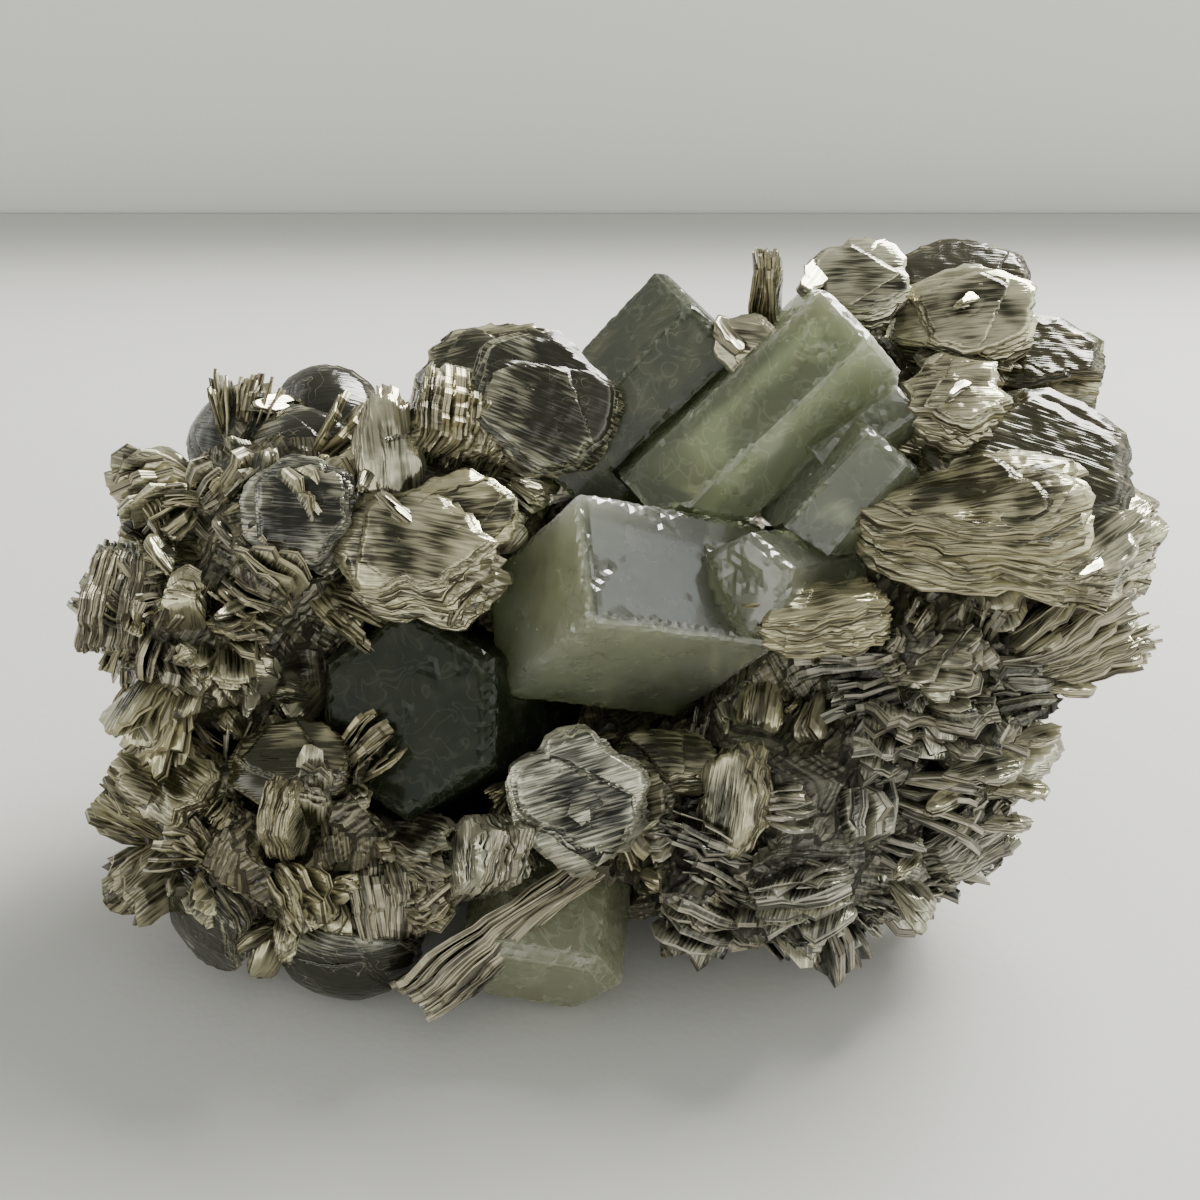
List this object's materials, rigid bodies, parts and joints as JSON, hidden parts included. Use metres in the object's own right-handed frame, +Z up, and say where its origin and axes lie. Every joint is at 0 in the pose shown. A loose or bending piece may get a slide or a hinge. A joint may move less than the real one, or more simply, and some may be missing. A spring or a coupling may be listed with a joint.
{
  "type": "aquamarine crystal cluster",
  "caption": "Mineral specimen: pale green aquamarine crystals set among fanned books of silvery brown muscovite mica, standing on a flat-cut base.",
  "frame": {"origin": "centre of the bounding box's footprint, on the surface that the specimen rests on", "axes": "+X to the specimen's right, +Y to its back, +Z up"},
  "size_m": [0.1128, 0.0668, 0.0643],
  "materials": {
    "aquamarine": "clear pale green, with etched faces",
    "book_mica": "pearly, translucent at the edges",
    "matrix_mica": "grey and pearly, with ragged leaves"
  },
  "bodies": {
    "root": {"aquamarine_back": "aquamarine", "aquamarine_centre": "aquamarine", "aquamarine_foot": "aquamarine", "aquamarine_recess": "aquamarine", "aquamarine_upper": "aquamarine", "mica_amber_scale": "book_mica", "mica_bottom_book": "book_mica", "mica_bright_book": "book_mica", "mica_broom_book": "book_mica", "mica_brown_book": "book_mica", "mica_corner_book": "book_mica", "mica_crest": "book_mica", "mica_disc": "book_mica", "mica_far_dome": "book_mica", "mica_feather_book": "book_mica", "mica_flank_sheet": "book_mica", "mica_front_plate": "book_mica", "mica_glint_book": "book_mica", "mica_green_leaf": "book_mica", "mica_grey_book": "book_mica", "mica_hanging_leaf": "book_mica", "mica_honey_book": "book_mica", "mica_left_fan": "book_mica", "mica_lip_blade": "book_mica", "mica_matrix": "matrix_mica", "mica_near_dome": "book_mica", "mica_pale_leaf": "book_mica", "mica_pale_scale": "book_mica", "mica_rear_dome": "book_mica", "mica_rear_fan": "book_mica", "mica_ridge_book": "book_mica", "mica_rim_book": "book_mica", "mica_sheaf": "book_mica", "mica_shell": "book_mica", "mica_slant_book": "book_mica", "mica_standing_blade": "book_mica", "mica_striated_book": "book_mica", "mica_tip_book": "book_mica", "mica_top_scale": "book_mica", "mica_upright_slab": "book_mica", "mica_wave_book": "book_mica", "mica_window_plate": "book_mica"}
  },
  "joints": []
}
